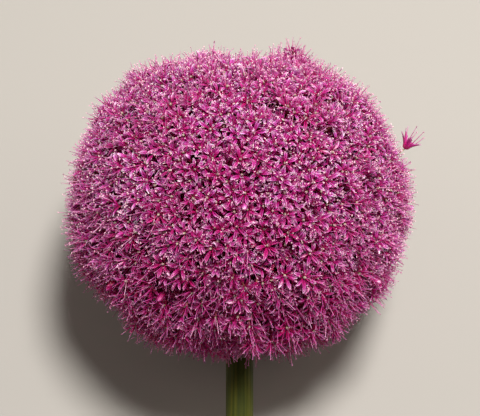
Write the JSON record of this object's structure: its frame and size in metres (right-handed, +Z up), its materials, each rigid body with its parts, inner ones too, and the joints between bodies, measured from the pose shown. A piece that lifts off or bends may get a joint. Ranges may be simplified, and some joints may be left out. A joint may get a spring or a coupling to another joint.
{
  "type": "allium flower head",
  "caption": "Globe-shaped head of magenta-pink star florets on a short cut length of its green scape, lying on its side.",
  "frame": {"origin": "bottom centre of the whole object's box, on the surface that the flower lies on", "axes": "+Z up from that surface; +Y the way the crown of the globe points, seen from above, with the cut end of the scape towards -Y; +X across the globe"},
  "size_m": [0.1468, 0.2288, 0.1431],
  "materials": {
    "scape": "satin",
    "florets": "matte"
  },
  "bodies": {
    "root": {"scape": "scape", "floret_spray_01": "florets", "floret_spray_02": "florets", "floret_spray_03": "florets", "floret_spray_04": "florets", "floret_spray_05": "florets", "floret_spray_06": "florets", "floret_spray_07": "florets", "floret_spray_08": "florets", "floret_spray_09": "florets", "floret_spray_10": "florets", "floret_spray_11": "florets", "floret_spray_12": "florets", "floret_spray_13": "florets", "floret_spray_14": "florets", "floret_spray_15": "florets", "floret_spray_16": "florets", "floret_spray_17": "florets", "floret_spray_18": "florets", "floret_spray_19": "florets", "floret_spray_20": "florets", "floret_spray_21": "florets", "floret_spray_22": "florets", "floret_spray_23": "florets", "floret_spray_24": "florets", "floret_spray_25": "florets", "floret_spray_26": "florets", "floret_spray_27": "florets", "floret_spray_28": "florets", "floret_spray_29": "florets", "floret_spray_30": "florets", "floret_spray_31": "florets", "floret_spray_32": "florets", "floret_spray_33": "florets", "floret_spray_34": "florets", "floret_spray_35": "florets", "floret_spray_36": "florets", "floret_spray_37": "florets", "floret_spray_38": "florets", "floret_spray_39": "florets", "floret_spray_40": "florets", "floret_spray_41": "florets", "floret_spray_42": "florets", "floret_spray_43": "florets", "floret_spray_44": "florets", "floret_spray_45": "florets", "floret_spray_46": "florets", "floret_spray_47": "florets", "floret_spray_48": "florets", "floret_spray_49": "florets", "floret_spray_50": "florets", "floret_spray_51": "florets", "floret_spray_52": "florets", "floret_spray_53": "florets", "floret_spray_54": "florets", "floret_spray_55": "florets", "floret_spray_56": "florets"}
  },
  "joints": []
}
